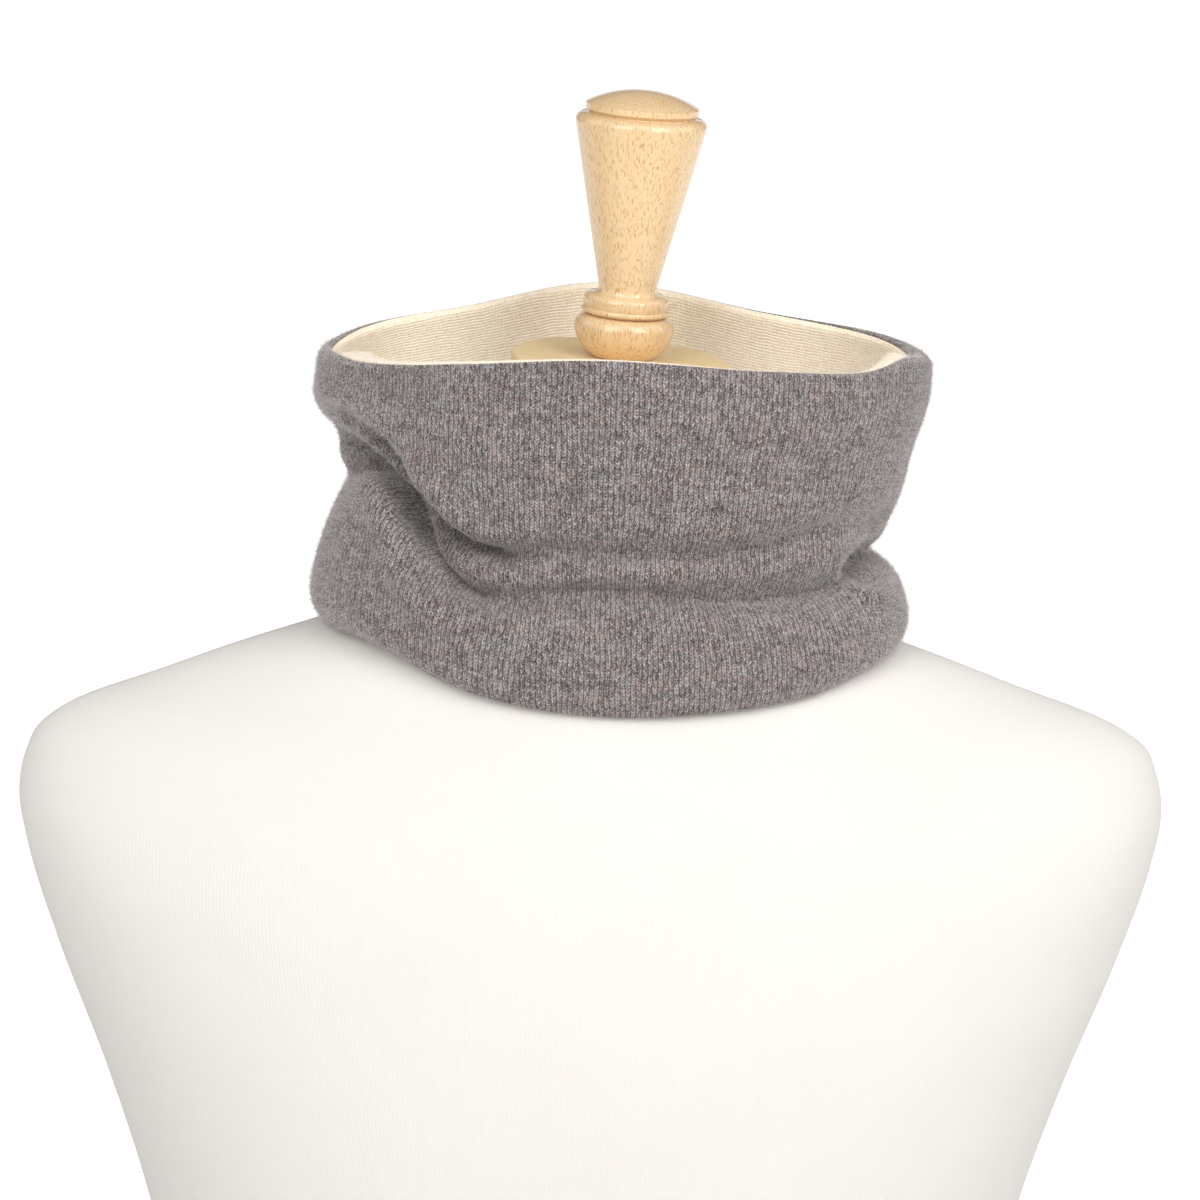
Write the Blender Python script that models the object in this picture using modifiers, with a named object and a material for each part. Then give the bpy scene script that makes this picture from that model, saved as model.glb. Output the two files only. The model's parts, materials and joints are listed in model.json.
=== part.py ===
"""A lined, knitted neck warmer resting on a limbless display form.

Units are metres and +Z is up. The form faces -Y, +X is to the right as seen from its front,
and the origin is on the surface it stands on, under the middle of its box.

The neck warmer is a short tube of two knitted layers, an outer and a lining, joined at the rim
and at the hem. It has slouched down round the neck, so a soft roll, a crease and a full lower
roll run round it, pinched tight at both sides. Both layers come from one worn surface, which
is worked out from the rows below: a row for each ring from the rim to the hem.
"""

import math
from collections import namedtuple

import bmesh
import bpy
import numpy as np
from mathutils import Matrix, Vector

MM = 0.001

# ---- driving sizes (millimetres) ----
NECK_TOP = 560.0            # from the ground up to the top of the wooden neck disc
NECK_AXIS_X = 8.8           # the neck leans, so its disc sits to the right of the middle
NECK_LEAN = 3.5             # degrees that the disc and the finial lean to the right
DISC_RADIUS = 43.5
DISC_THICKNESS = 6.0
DISC_EDGE = 1.6             # rounding of the disc's edge
DISC_SIDES = 40
SEAT_GAP = 0.3              # clearance between pieces that rest on each other
FORM_SIDES = 40             # points round the form

WALL = 1.4                  # thickness of one knitted layer
LAYER_PITCH = 2.3           # from the middle of the outer to the middle of the lining
SEAM_GAP = 0.55             # between the outer's turned edge and the lining at the rim
HEM_CLEARANCE = 0.5         # between the lining and the form's shoulders under the hem
WALES = 60                  # points round the tube
ROWS_BETWEEN_RINGS = 2      # rows for each step from one ring to the next

# ---- the worn tube, ring by ring, seen from above ----
# down: share of the way from rim to hem; front, right, back, left: reach from the neck's axis;
# corner: 1 is an ellipse, more than 1 draws the two side corners to a point.
Ring = namedtuple("Ring", "name down front right back left corner")
RINGS = (
    Ring("rim",      0.00, 57.0, 129.8, 60.5, 111.6, 1.35),
    Ring("band",     0.08, 58.5, 129.0, 61.5, 112.8, 1.30),
    Ring("panel",    0.22, 59.5, 123.0, 61.5, 112.0, 1.15),
    Ring("ridge",    0.36, 60.0, 118.0, 62.0, 109.0, 1.05),
    Ring("valley",   0.44, 60.0, 115.5, 62.5, 106.0, 1.00),
    Ring("roll",     0.51, 60.5, 112.8, 63.0, 104.5, 1.00),
    Ring("crease",   0.57, 61.5, 111.3, 64.0, 104.0, 1.00),
    Ring("lip",      0.63, 64.0, 114.2, 65.5, 105.5, 1.00),
    Ring("shoulder", 0.72, 68.0, 118.8, 67.0, 108.0, 0.95),
    Ring("bulge",    0.84, 70.0, 122.8, 68.0, 113.3, 0.92),
    Ring("turn",     0.95, 70.0, 122.6, 68.5, 112.6, 0.93),
    Ring("hem",      1.00, 68.8, 120.5, 68.0, 109.5, 0.97),
)
TUBE_X = 1.2                # the tube's middle, to the right of the form's

# Columns of the next tables: degrees round the tube from the front, toward the right.
COLUMNS = (0, 30, 60, 75, 90, 120, 150, 180, 210, 240, 255, 270, 285, 300, 315, 330)

# Height of each ring over the neck disc.
HEIGHTS = {
    "rim":      (8, 3.0, -0.8, 0.6, 2.4, 7, 10.5, 19.5, 10.5, 5.9, 3.0, 0.8, 0.4, 0.6, 1.9, 4.4),
    "band":     (-10, -12, -13, -12, -11, -8, -4, 2, -5, -7, -9, -11, -12, -12, -12, -11),
    "panel":    (-36, -36, -34, -34, -34, -28, -26, -24, -24, -20, -19, -19, -19, -20, -26, -34),
    "ridge":    (-57, -57, -51, -52, -54, -48, -48, -48, -43, -31, -27, -25, -25, -29, -42, -56),
    "valley":   (-67, -66, -60, -61, -63, -59, -58, -60, -54, -42, -37, -33, -31, -37, -52, -68),
    "roll":     (-75, -75, -71, -69, -70, -66, -67, -69, -61, -49, -45, -42, -38, -43, -61, -78),
    "crease":   (-83, -86, -83, -78, -76, -73, -75, -77, -67, -55, -52, -50, -46, -49, -68, -85),
    "lip":      (-89, -91, -87, -82, -81, -79, -81, -84, -72, -61, -59, -56, -50, -47, -67, -88),
    "shoulder": (-97, -98, -94, -90, -87, -86, -89, -92, -83, -75, -73, -70, -65, -62, -76, -94),
    "bulge":    (-112, -111, -107, -103, -98, -97, -100, -103, -98, -92, -90, -90, -88, -88, -96, -106),
    "turn":     (-124, -122, -115, -110, -105, -104, -108, -110, -106, -101, -99, -101, -102, -102, -108, -117),
    "hem":      (-129, -127, -120, -115, -110, -109, -113, -115, -111, -106, -105, -106, -107, -107, -112, -121),
}

# How far each ring is drawn in from its reach.
INSETS = {
    "band":     (0, 0, 0, 0, 0, 0, 0.5, 0, 0.5, 0, 0, 0, 0, 0.5, 0, 0),
    "panel":    (0, 0, 0, 0, 0, 1, 1, 0, 1, 1, 1, 0.5, 0, 0.5, 0.5, 0),
    "ridge":    (0, 0, 0, 0, 0, 2, 1, 0, 1, 1.5, 2, 1.5, 1, 1, 0, 0.5),
    "valley":   (3.5, 3.5, 3.5, 5, 1, 6, 5, 4, 5, 4, 3, 3, 9, 13, 12, 8),
    "roll":     (0, 0.5, 0.5, 5, 1.5, 8, 3, 2, 6, 6, 4, 2.5, 13, 21, 18, 7),
    "crease":   (5, 5, 7, 13, 5, 12, 8, 7, 10, 11, 8, 5, 12, 20, 17, 9),
    "lip":      (1, 1.5, 2.5, 4, 1.5, 4, 2, 2, 3, 5, 5, 3.5, 5, 5, 3, 1.5),
}

# The outer's soft turn over the rim: its radius, fat at the corners and thin at the front,
# and how far round it the seam with the lining lies, from 0 outside to 180 degrees inside.
RIM_ROLL = (1.7, 1.7, 2.1, 3.2, 4.6, 2.8, 1.9, 1.7, 1.7, 2.0, 2.3, 2.4, 2.2, 2.2, 2.0, 1.8)
RIM_SEAM = (60, 80, 100, 132, 148, 142, 105, 60, 60, 112, 128, 134, 102, 40, 35, 40)
OUTER_TURN_ROWS = (1.0, 0.88, 0.45)       # shares of the way from the outside to the seam
LINING_TURN_ROWS = (0.0, 0.12, 0.55, 1.0)  # shares of the way from the seam to the inside
ROLL_FADE = 0.20            # share of the way down at which the layers lie together again

# ---- the form, section by section, from the neck down ----
# height over the neck disc; half width; reach to front and back; squareness; shift to the right.
Section = namedtuple("Section", "height half front back square shift")
SECTIONS = (
    Section(-6.3,   42.0,  42.0,  42.0, 2.00, 8.4),
    Section(-40.0,  44.5,  44.5,  44.5, 2.00, 6.8),
    Section(-70.0,  48.0,  48.0,  48.5, 2.00, 5.0),
    Section(-86.0,  57.0,  51.5,  53.0, 2.00, 3.6),
    Section(-96.0,  73.0,  54.5,  56.5, 1.90, 2.0),
    Section(-107.0, 104.0, 58.0,  60.0, 1.72, -0.4),
    Section(-120.0, 143.0, 62.3,  65.0, 1.60, -1.6),
    Section(-132.0, 175.0, 66.8,  70.0, 1.58, -1.4),
    Section(-144.0, 207.0, 72.0,  76.0, 1.62, -0.8),
    Section(-153.0, 221.0, 76.5,  80.5, 1.70, 0.0),
    Section(-166.0, 228.0, 83.0,  87.0, 1.82, 0.0),
    Section(-182.0, 230.5, 90.5,  94.0, 1.95, 0.0),
    Section(-200.0, 227.5, 97.5,  101.0, 2.05, 0.0),
    Section(-240.0, 215.0, 107.0, 109.5, 2.15, 0.0),
    Section(-290.0, 196.0, 112.5, 113.0, 2.20, 0.0),
    Section(-340.0, 179.8, 113.0, 111.0, 2.25, 0.0),
    Section(-430.0, 161.0, 107.0, 103.0, 2.30, 0.0),
    Section(-520.0, 154.0, 101.0, 99.0, 2.30, 0.0),
    Section(-560.0, 156.0, 102.0, 101.0, 2.30, 0.0),
)
LEAN_ENDS = -96.0           # the neck's cut end leans with the disc; the lean fades out here
SHOULDER_SEARCH = (-200.0, -80.0)  # heights between which the shoulders' surface is looked for
SHOULDER_HALVINGS = 30

# ---- the turned finial: height over the neck disc and radius, from its top down ----
DOME_TOP = 106.0
DOME_RIM = (100.4, 21.8)
CAP_LIP = ((100.1, 22.3), (98.0, 22.4), (97.4, 21.7), (96.8, 20.9), (96.2, 21.4))
CONE_TOP = ((95.8, 24.2), (94.8, 25.4), (92.8, 25.9))
CONE_FOOT = ((28.0, 11.5), (26.6, 11.8))
COLLAR = ((25.5, 13.2), (24.7, 15.6), (23.8, 16.8), (22.6, 17.1), (19.0, 17.1), (18.2, 16.6))
BALL_MIDDLE = 12.5
BALL_RADIUS = 19.7
BALL_SHOULDER = 4.6         # rounding of the ball's upper edge
BALL_SHOULDER_TURN = (75, 15)  # degrees of the rounding: from near its top to near its side
BALL_DROP = 15.5            # half height of the ellipse below its middle
DOME_STEPS = 5
BALL_STEPS = 7
FINIAL_SIDES = 28

COLLECTION = "neck_warmer_on_form"
UP = np.array((0.0, 0.0, 1.0))


def clear_scene():
    for thing in list(bpy.data.objects):
        bpy.data.objects.remove(thing, do_unlink=True)


def finish_material(name, rgb, roughness):
    material = bpy.data.materials.new(name)
    material.use_nodes = True
    shader = material.node_tree.nodes["Principled BSDF"]
    shader.inputs["Base Color"].default_value = (*rgb, 1.0)
    shader.inputs["Roughness"].default_value = roughness
    shader.inputs["Metallic"].default_value = 0.0
    return material


def add_object(name, mesh, material, collection):
    mesh.materials.append(material)
    thing = bpy.data.objects.new(name, mesh)
    collection.objects.link(thing)
    return thing


# ---- smooth curves through table rows ----

def hermite(start, end, start_slope, end_slope, share):
    """Cubic from start to end; the slopes are already scaled to the step's length."""
    s2 = share * share
    s3 = s2 * share
    return ((2 * s3 - 3 * s2 + 1) * start + (s3 - 2 * s2 + share) * start_slope
            + (3 * s2 - 2 * s3) * end + (s3 - s2) * end_slope)


def curve_through(knots, values, at):
    """Smooth curve through values at the knots; values may hold a row of numbers a knot."""
    knots = np.asarray(knots, float)
    values = np.asarray(values, float)
    slopes = np.gradient(values, knots, axis=0)
    step = int(np.clip(np.searchsorted(knots, at, side="right") - 1, 0, len(knots) - 2))
    length = knots[step + 1] - knots[step]
    return hermite(values[step], values[step + 1], slopes[step] * length,
                   slopes[step + 1] * length, (at - knots[step]) / length)


def around(values, degrees):
    """A table row's value at an angle round the tube, on a closed smooth curve."""
    wrap = 4
    knots = [c - 360 for c in COLUMNS[-wrap:]] + list(COLUMNS) + [c + 360 for c in COLUMNS[:wrap]]
    looped = list(values[-wrap:]) + list(values) + list(values[:wrap])
    return float(curve_through(knots, looped, degrees % 360.0))


# ---- the form ----

def section_at(height):
    """The form's section at a height over the disc, between the table's rows."""
    rows = sorted(SECTIONS, key=lambda row: row.height)
    knots = [row.height for row in rows]
    return Section(height, *curve_through(knots, [row[1:] for row in rows], height))


def section_point(section, angle):
    """A point of a section, with the angle from the front toward the right."""
    across, along = math.sin(angle), math.cos(angle)
    power = 2.0 / section.square
    x = section.half * math.copysign(abs(across) ** power, across) + section.shift
    reach = section.front if along > 0 else section.back
    y = -reach * math.copysign(abs(along) ** power, along)
    up_the_neck = (section.height - LEAN_ENDS) / (SECTIONS[0].height - LEAN_ENDS)
    lean = math.tan(math.radians(NECK_LEAN)) * max(0.0, up_the_neck)
    return Vector((x, y, NECK_TOP + section.height - lean * (x - section.shift))) * MM


def form_height(x, y):
    """Height over the disc of the form's shoulder under a point, found by halving."""
    low, high = SHOULDER_SEARCH
    for _ in range(SHOULDER_HALVINGS):
        middle = 0.5 * (low + high)
        section = section_at(middle)
        reach = section.front if y < 0 else section.back
        spread = (abs((x - section.shift) / section.half) ** section.square
                  + abs(y / reach) ** section.square)
        if spread < 1.0:
            low = middle
        else:
            high = middle
    return middle


def loft(rings, closed_ends):
    """A mesh through rings of points; every ring has the same number of them."""
    shape = bmesh.new()
    loops = [[shape.verts.new(point) for point in ring] for ring in rings]
    for upper, lower in zip(loops, loops[1:]):
        for i in range(len(upper)):
            j = (i + 1) % len(upper)
            shape.faces.new((upper[i], lower[i], lower[j], upper[j]))
    if closed_ends:
        shape.faces.new(loops[0])
        shape.faces.new(list(reversed(loops[-1])))
    return shape


def mesh_from(shape, name, smooth_angle=50.0):
    bmesh.ops.recalc_face_normals(shape, faces=shape.faces)
    mesh = bpy.data.meshes.new(name)
    shape.to_mesh(mesh)
    shape.free()
    mesh.shade_smooth()
    mesh.set_sharp_from_angle(angle=math.radians(smooth_angle))
    return mesh


def form_rows():
    """Heights of the form's rings: the table's rows and one between each two."""
    heights = [row.height for row in SECTIONS]
    middles = [0.5 * (a + b) for a, b in zip(heights, heights[1:])]
    return sorted(heights + middles, reverse=True)


def build_form(collection):
    turns = [2 * math.pi * i / FORM_SIDES for i in range(FORM_SIDES)]
    rings = [[section_point(section_at(h), a) for a in turns] for h in form_rows()]
    mesh = mesh_from(loft(rings, closed_ends=True), "form_torso")
    jersey = finish_material("jersey_off_white", (0.89, 0.87, 0.82), 0.9)
    return add_object("form_torso", mesh, jersey, collection)


# ---- the disc and the finial, on one leaning axis ----

def leaning_frame():
    """Matrix of the disc's top face: its middle, and +Z along the leaning axis."""
    middle = Matrix.Translation(Vector((NECK_AXIS_X, 0.0, NECK_TOP)) * MM)
    return middle @ Matrix.Rotation(math.radians(NECK_LEAN), 4, "Y")


def build_disc(collection, wood):
    shape = bmesh.new()
    bmesh.ops.create_cone(shape, cap_ends=True, segments=DISC_SIDES, radius1=DISC_RADIUS * MM,
                          radius2=DISC_RADIUS * MM, depth=DISC_THICKNESS * MM)
    disc = add_object("neck_disc", mesh_from(shape, "neck_disc", 35.0), wood, collection)
    disc.matrix_world = leaning_frame() @ Matrix.Translation((0, 0, -0.5 * DISC_THICKNESS * MM))
    bevel = disc.modifiers.new("eased_edge", "BEVEL")
    bevel.width = DISC_EDGE * MM
    bevel.segments = 2
    bevel.limit_method = "ANGLE"
    return disc


def arc(centre, across, up, start, end, count):
    """Heights and radii along part of an ellipse; 90 degrees is its top."""
    points = []
    for i in range(count):
        angle = math.radians(start + (end - start) * i / (count - 1))
        points.append((centre[0] + up * math.sin(angle), centre[1] + across * math.cos(angle)))
    return points


def dome():
    """The shallow cap on top: an arc from the axis down to the dome's rim."""
    rise = DOME_TOP - DOME_RIM[0]
    radius = (DOME_RIM[1] ** 2 + rise ** 2) / (2.0 * rise)
    points = []
    for i in range(DOME_STEPS + 1):
        out = DOME_RIM[1] * i / DOME_STEPS
        points.append((DOME_TOP - radius + math.sqrt(radius ** 2 - out ** 2), out))
    return points


def finial_profile():
    """Height and radius of the turned outline, from the dome's top down to the ball's foot."""
    shoulder = arc((BALL_MIDDLE, BALL_RADIUS - BALL_SHOULDER), BALL_SHOULDER, BALL_SHOULDER,
                   *BALL_SHOULDER_TURN, 3)
    foot_angle = -math.degrees(math.asin((BALL_MIDDLE - SEAT_GAP) / BALL_DROP))
    belly = arc((BALL_MIDDLE, 0.0), BALL_RADIUS, BALL_DROP, 0, foot_angle, BALL_STEPS)
    return dome() + list(CAP_LIP + CONE_TOP + CONE_FOOT + COLLAR) + shoulder + belly + [(SEAT_GAP, 0.0)]


def build_finial(collection, wood):
    shape = bmesh.new()
    corners = [shape.verts.new((radius * MM, 0.0, height * MM)) for height, radius in finial_profile()]
    for upper, lower in zip(corners, corners[1:]):
        shape.edges.new((upper, lower))
    mesh = bpy.data.meshes.new("finial")
    shape.to_mesh(mesh)
    shape.free()
    finial = add_object("finial", mesh, wood, collection)
    finial.matrix_world = leaning_frame()
    turning = finial.modifiers.new("turned_on_a_lathe", "SCREW")
    turning.axis = "Z"
    turning.steps = FINIAL_SIDES
    turning.render_steps = FINIAL_SIDES
    turning.use_merge_vertices = True
    turning.merge_threshold = 0.00001
    turning.use_smooth_shade = True
    return finial


# ---- the neck warmer ----

def plan_outward(ring, angle):
    """Level direction out of the tube, from its plan at a ring."""
    wide = ring.right if math.sin(angle) > 0 else ring.left
    deep = ring.front if math.cos(angle) > 0 else ring.back
    return Vector((math.sin(angle) / wide, -math.cos(angle) / deep, 0.0)).normalized()


def ring_point(ring, degrees):
    """The middle of the outer layer where a ring crosses an angle round the tube."""
    angle = math.radians(degrees)
    across, along = math.sin(angle), math.cos(angle)
    wide = ring.right if across > 0 else ring.left
    deep = ring.front if along > 0 else ring.back
    x = wide * across
    y = -deep * math.copysign(abs(along) ** ring.corner, along)
    out = plan_outward(ring, angle)
    inset = around(INSETS[ring.name], degrees) if ring.name in INSETS else 0.0
    height = around(HEIGHTS[ring.name], degrees)
    x -= out.x * inset
    y -= out.y * inset
    if ring.name == "hem":
        reach_in = LAYER_PITCH + 0.5 * WALL
        resting = form_height(TUBE_X + x - out.x * reach_in, y - out.y * reach_in) + HEM_CLEARANCE
        height = max(height, resting)
    return Vector((x + TUBE_X, y, NECK_TOP + height))


def worn_lines():
    """For each angle, the ring points from rim to hem: the worn tube's up and down lines."""
    angles = [360.0 * i / WALES for i in range(WALES)]
    return angles, [[ring_point(ring, degrees) for ring in RINGS] for degrees in angles]


def worn_rows():
    """Shares of the way down at which the tube has a row of points."""
    shares = []
    for upper, lower in zip(RINGS, RINGS[1:]):
        step = (lower.down - upper.down) / ROWS_BETWEEN_RINGS
        shares += [upper.down + step * i for i in range(ROWS_BETWEEN_RINGS)]
    return shares + [1.0]


def outward_normals(grid):
    """Unit normals of a grid of points, rows from top to bottom and closed round each row."""
    along = np.gradient(grid, axis=0)
    round_ = np.roll(grid, -1, axis=1) - np.roll(grid, 1, axis=1)
    normals = np.cross(along, round_)
    return normals / np.linalg.norm(normals, axis=2, keepdims=True)


def worn_grid():
    """The outer's middle surface without its rim turn: rows of points from rim to hem."""
    knots = [ring.down for ring in RINGS]
    angles, lines = worn_lines()
    rows = [[curve_through(knots, line, share) for line in lines] for share in worn_rows()]
    return angles, np.array(rows)


def rim_turn(angles, face, outward, turns):
    """Rows of the half turn over the rim; 0 degrees is its outer face and 180 its inner one."""
    rows = []
    for row_turns in turns:
        row = []
        for i, degrees in enumerate(angles):
            radius = around(RIM_ROLL, degrees)
            turn = math.radians(row_turns[i])
            inward = radius * (1.0 - math.cos(turn))
            row.append(face[i] - outward[i] * inward + UP * radius * math.sin(turn))
        rows.append(row)
    return np.array(rows)


def rim_outward(angles):
    """Level directions out from the tube at the rim."""
    rim = RINGS[0]
    return np.array([tuple(plan_outward(rim, math.radians(degrees))) for degrees in angles])


def knitted_layer(name, grid, material, collection):
    shape = loft([[Vector(point) * MM for point in row] for row in grid], closed_ends=False)
    mesh = bpy.data.meshes.new(name)
    shape.to_mesh(mesh)
    shape.free()
    mesh.shade_smooth()
    layer = add_object(name, mesh, material, collection)
    wall = layer.modifiers.new("knitted_wall", "SOLIDIFY")
    wall.thickness = WALL * MM
    wall.offset = 0.0
    return layer


def build_neck_warmer(collection):
    angles, grid = worn_grid()
    shares = np.array(worn_rows())[:, None]
    radii = np.array([around(RIM_ROLL, degrees) for degrees in angles])
    seams = np.array([around(RIM_SEAM, degrees) for degrees in angles])
    fade = np.clip(1.0 - shares / ROLL_FADE, 0.0, 1.0)
    grid[:, :, 2] -= radii * fade
    outward = rim_outward(angles)

    outer_shares = np.array(OUTER_TURN_ROWS)[:, None]
    outer_turn = rim_turn(angles, grid[0], outward, seams * outer_shares)
    outer_grid = np.concatenate([outer_turn, grid])

    after_seam = seams + np.degrees(SEAM_GAP / (radii - 0.5 * WALL))
    lining_shares = np.array(LINING_TURN_ROWS)[:, None]
    lining_turns = after_seam + (180.0 - after_seam) * lining_shares
    lining_turn = rim_turn(angles, grid[0], outward, lining_turns)
    depth = LAYER_PITCH + np.maximum(0.0, 2.0 * radii - LAYER_PITCH) * fade ** 2
    directions = outward_normals(grid) * (1.0 - fade)[:, :, None] + outward * fade[:, :, None]
    directions /= np.linalg.norm(directions, axis=2, keepdims=True)
    lining_grid = np.concatenate([lining_turn, (grid - directions * depth[:, :, None])[1:]])

    taupe = finish_material("wool_knit_taupe_heather", (0.205, 0.172, 0.155), 0.95)
    cream = finish_material("wool_knit_cream", (0.72, 0.56, 0.38), 0.95)
    knitted_layer("neck_warmer_outer", outer_grid, taupe, collection)
    knitted_layer("neck_warmer_lining", lining_grid, cream, collection)


def main():
    clear_scene()
    collection = bpy.data.collections.new(COLLECTION)
    bpy.context.scene.collection.children.link(collection)
    wood = finish_material("rubberwood_lacquered", (0.78, 0.53, 0.27), 0.35)
    pale_wood = finish_material("birch_disc", (0.82, 0.66, 0.40), 0.6)
    build_form(collection)
    build_disc(collection, pale_wood)
    build_finial(collection, wood)
    build_neck_warmer(collection)


main()
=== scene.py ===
# %% [markdown]
# # A lined, knitted neck warmer on its display form
#
# The real object is a short tube of two fine wool knits, taupe outside and cream inside, pulled
# over the neck of a shop's display form and left to slouch. Most of its look is in three things:
# the few soft folds of the worn tube, the heather of the outer knit, and the loose fibres that
# blur its edges. This lesson builds the tube first, then its yarn, then what carries it.
#
# The solids of the part are already packed. They are loaded as a fixed frame, and each new piece
# is made in the same place, in metres, with +Z up and the front towards -Y.

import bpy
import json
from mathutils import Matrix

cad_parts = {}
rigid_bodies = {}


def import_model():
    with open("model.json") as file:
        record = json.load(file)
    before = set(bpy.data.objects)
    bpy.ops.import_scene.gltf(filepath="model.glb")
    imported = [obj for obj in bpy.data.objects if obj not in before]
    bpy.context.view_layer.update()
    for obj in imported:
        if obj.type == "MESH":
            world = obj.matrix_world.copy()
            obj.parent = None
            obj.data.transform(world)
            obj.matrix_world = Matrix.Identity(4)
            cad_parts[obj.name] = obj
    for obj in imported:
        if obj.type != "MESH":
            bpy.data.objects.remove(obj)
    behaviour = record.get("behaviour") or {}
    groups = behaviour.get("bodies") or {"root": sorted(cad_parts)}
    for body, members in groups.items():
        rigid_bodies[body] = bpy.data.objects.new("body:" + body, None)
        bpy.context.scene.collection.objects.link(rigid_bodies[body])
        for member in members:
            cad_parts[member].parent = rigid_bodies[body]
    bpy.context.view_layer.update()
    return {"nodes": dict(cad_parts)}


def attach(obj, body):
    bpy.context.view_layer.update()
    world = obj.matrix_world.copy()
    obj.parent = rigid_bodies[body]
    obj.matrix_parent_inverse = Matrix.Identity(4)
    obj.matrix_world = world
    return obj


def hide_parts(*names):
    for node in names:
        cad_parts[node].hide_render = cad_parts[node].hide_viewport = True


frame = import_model()
print("frame nodes:", sorted(frame["nodes"]))

# %% [markdown]
# The tables below are in millimetres, as a maker measures, and Blender works in metres. So points
# are worked out in millimetres and multiplied by MM only when a mesh is made from them.

# %% Modules and units
import json
import math
from collections import namedtuple
from functools import partial

import bmesh
import bpy
import numpy as np
from mathutils import Matrix, Vector

MM = 0.001
MERGE = 0.00001             # points closer than this, in metres, are one

for thing in [o for o in bpy.data.objects if o.name in ("Cube", "Camera", "Light")]:
    bpy.data.objects.remove(thing, do_unlink=True)
print("one millimetre is", MM, "m")

# %% [markdown]
# ## Two helpers for materials
#
# Colours are easier to read as hex values, as a paint maker gives them, but shaders work in
# linear light, so one function converts them. A second function adds a shader node, sets it up
# and links it in one call, which keeps each material below short enough to read as a recipe. An
# input may be a number, a colour, another node's output, or a node, whose first output is linked.

# %% Helpers for colours and shader nodes
def linear(code):
    """An sRGB hex colour such as "#c8a06e" as linear red, green, blue and alpha."""
    parts = [int(code[i:i + 2], 16) / 255.0 for i in (1, 3, 5)]
    return tuple(p / 12.92 if p <= 0.04045 else ((p + 0.055) / 1.055) ** 2.4 for p in parts) + (1.0,)


def set_sockets(material, node, inputs):
    """Gives a node's sockets, by name or in order, a value, an output or another node."""
    by_socket = inputs if isinstance(inputs, dict) else dict(enumerate(inputs))
    for socket, value in by_socket.items():
        if isinstance(value, bpy.types.Node):
            value = value.outputs[0]
        if isinstance(value, bpy.types.NodeSocket):
            material.node_tree.links.new(value, node.inputs[socket])
        else:
            node.inputs[socket].default_value = value


def add_node(material, kind, inputs=(), **settings):
    """Adds a node with its settings and its inputs."""
    node = material.node_tree.nodes.new(kind)
    for name, value in settings.items():
        setattr(node, name, value)
    set_sockets(material, node, inputs)
    return node


def new_material(name):
    """A material with nothing but an output and a Principled shader, and that shader."""
    material = bpy.data.materials.new(name)
    material.use_nodes = True
    return material, material.node_tree.nodes["Principled BSDF"]


print("wool white in linear light:", [round(c, 3) for c in linear("#f3ead9")])

# %% [markdown]
# ## The camera
#
# The photo is taken from the front and a little above, from about two metres away with a long
# lens, so the form's sides hardly converge. Angle, distance and lens were worked out from the
# ellipses of the neck disc and the rim.

# %% Camera
CAMERA_PLACE = (0.00223, -1.87295, 0.89365)
CAMERA_DOWN = math.radians(13.0)
CAMERA_ROLL = math.radians(1.2)
SENSOR_WIDTH = 36.0         # millimetres
LENS_LENGTH = 144.21        # millimetres

forward = Vector((0.0, math.cos(CAMERA_DOWN), -math.sin(CAMERA_DOWN)))
right = Vector((1.0, 0.0, 0.0))
up = right.cross(forward)
rolled_right = right * math.cos(CAMERA_ROLL) + up * math.sin(CAMERA_ROLL)
rolled_up = up * math.cos(CAMERA_ROLL) - right * math.sin(CAMERA_ROLL)

lens = bpy.data.cameras.new("portrait_lens")
lens.sensor_width = SENSOR_WIDTH
lens.lens = LENS_LENGTH
lens.clip_end = 100.0
camera = bpy.data.objects.new("camera", lens)
camera.matrix_world = Matrix.Translation(CAMERA_PLACE) @ Matrix(
    (rolled_right, rolled_up, -forward)).transposed().to_4x4()
bpy.context.scene.collection.objects.link(camera)
bpy.context.scene.camera = camera
print("camera looks down by", round(math.degrees(CAMERA_DOWN), 1), "degrees")

# %% [markdown]
# ## Floor and light
#
# The photo is a shop's cut-out: the object is lit evenly, and everything behind it is pure white.
# A large pale floor, painted matt, glows behind the form. That gives the white without washing out
# the folds from below. Two tall soft boxes stand in front, one at each side: their reflections are
# the paired highlights on the lacquered wood. They are high enough to shine over the front rim
# onto the lining at the back. A wide one above fills the inside of the tube, and weak ones lift
# the sides and the back.

# %% Floor, sky and soft boxes
FLOOR_REACH = 14.0          # metres from the middle of the floor to its edge
GLOW_FROM = 0.30            # metres behind the form at which the floor begins to glow
GLOW_FULL = 0.56            # and at which it glows fully
LIGHT_DISTANCE = 2.8        # metres
LIT_POINT = (0.0, 0.0, 0.5)


def white_floor():
    """A matt painted floor that glows behind the form."""
    shape = bmesh.new()
    bmesh.ops.create_grid(shape, x_segments=1, y_segments=1, size=FLOOR_REACH)
    mesh = bpy.data.meshes.new("floor")
    shape.to_mesh(mesh)
    shape.free()
    material, shader = new_material("painted_studio_floor")
    where = add_node(material, "ShaderNodeTexCoord")
    behind = add_node(material, "ShaderNodeSeparateXYZ", (where.outputs["Object"],))
    glow = add_node(material, "ShaderNodeMapRange", {
        "Value": behind.outputs["Y"], "From Min": GLOW_FROM, "From Max": GLOW_FULL,
        "To Min": 0.0, "To Max": 1.0})
    set_sockets(material, shader, {
        "Base Color": linear("#f0f0f0"), "Roughness": 0.9,
        "Emission Color": (1.0, 1.0, 1.0, 1.0), "Emission Strength": glow})
    mesh.materials.append(material)
    floor = bpy.data.objects.new("floor", mesh)
    bpy.context.scene.collection.objects.link(floor)
    return floor


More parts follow.
